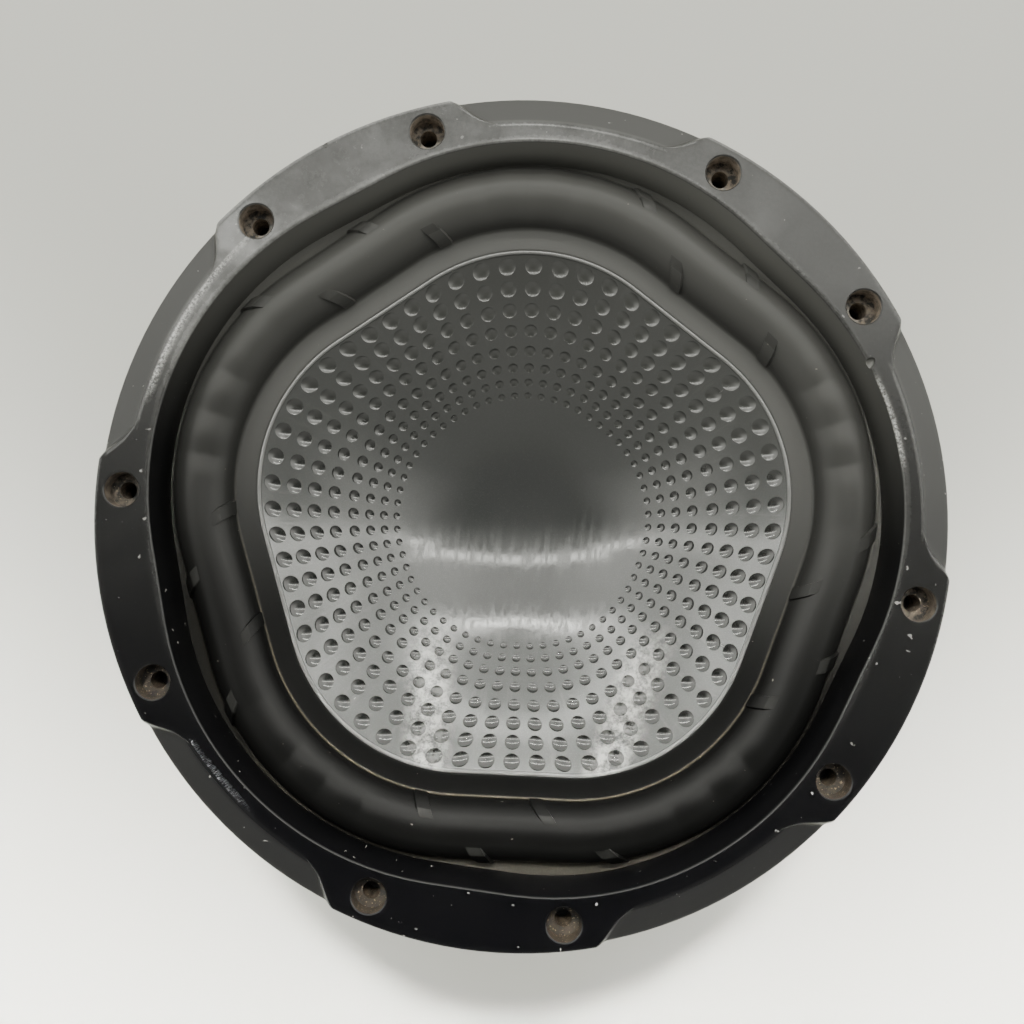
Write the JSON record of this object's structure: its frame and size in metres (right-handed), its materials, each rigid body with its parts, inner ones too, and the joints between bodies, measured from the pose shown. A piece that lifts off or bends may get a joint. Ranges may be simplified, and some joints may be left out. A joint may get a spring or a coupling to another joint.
{
  "type": "car subwoofer driver",
  "caption": "Round subwoofer driver: black trim ring with scallops and screw holes, rubber surround, silver dished cone of rounded-pentagon outline, pressed basket and booted magnet.",
  "frame": {"origin": "centre of the standing face under the magnet, on the driver's axis", "axes": "+Z along the axis toward the listener, +Y toward the middle of a scallop opposite the terminals, +X to the right seen from the front"},
  "size_m": [0.27, 0.27, 0.1472],
  "materials": {
    "trim_plastic": "moulded satin black, scuffed",
    "surround_rubber": "soft black rubber",
    "cone_plastic": "satin silver-grey moulded plastic",
    "collar_plastic": "matte black",
    "former_aluminium": "thin anodised sheet",
    "coil_copper": "enamelled copper wire",
    "spider_cloth": "resin-stiffened woven cloth",
    "basket_steel": "black powder coat on pressed steel",
    "plate_steel": "zinc-plated turned steel",
    "ferrite": "ground ferrite",
    "boot_rubber": "matte black rubber",
    "block_plastic": "matte black moulded plastic",
    "button_red": "glossy red",
    "button_black": "glossy black",
    "contact_brass": "bright brass strip",
    "lead_copper": "braided copper tinsel",
    "spring_steel": "bright spring wire"
  },
  "bodies": {
    "frame": {"trim_ring": "trim_plastic", "surround": "surround_rubber", "spider": "spider_cloth", "basket": "basket_steel", "basket_rivets": "plate_steel", "top_plate": "plate_steel", "magnet": "ferrite", "yoke": "plate_steel", "magnet_boot": "boot_rubber", "vent_screen": "block_plastic", "terminal_block": "block_plastic", "button_spring_red": "spring_steel", "button_spring_black": "spring_steel", "contact_red": "contact_brass", "contact_black": "contact_brass", "tinsel_lead_red": "lead_copper", "tinsel_lead_black": "lead_copper"},
    "moving_cone": {"cone": "cone_plastic", "neck_collar": "collar_plastic", "coil_former": "former_aluminium", "voice_coil": "coil_copper", "lead_tabs": "contact_brass"},
    "button_red": {"button_red": "button_red"},
    "button_black": {"button_black": "button_black"}
  },
  "joints": [
    {"name": "cone_travel", "type": "slide", "parent": "frame", "child": "moving_cone", "axis": [0, 0, 1], "range_m": [-0.011, 0.011], "stiffness_N_per_m": 4000, "deforming": ["surround", "spider", "tinsel_lead_red", "tinsel_lead_black"]},
    {"name": "red_press", "type": "slide", "parent": "frame", "child": "button_red", "axis": [0, 1, 0], "range_m": [0, 0.003], "stiffness_N_per_m": 900, "springref_m": -0.002, "deforming": ["button_spring_red"]},
    {"name": "black_press", "type": "slide", "parent": "frame", "child": "button_black", "axis": [0, 1, 0], "range_m": [0, 0.003], "stiffness_N_per_m": 900, "springref_m": -0.002, "deforming": ["button_spring_black"]}
  ]
}
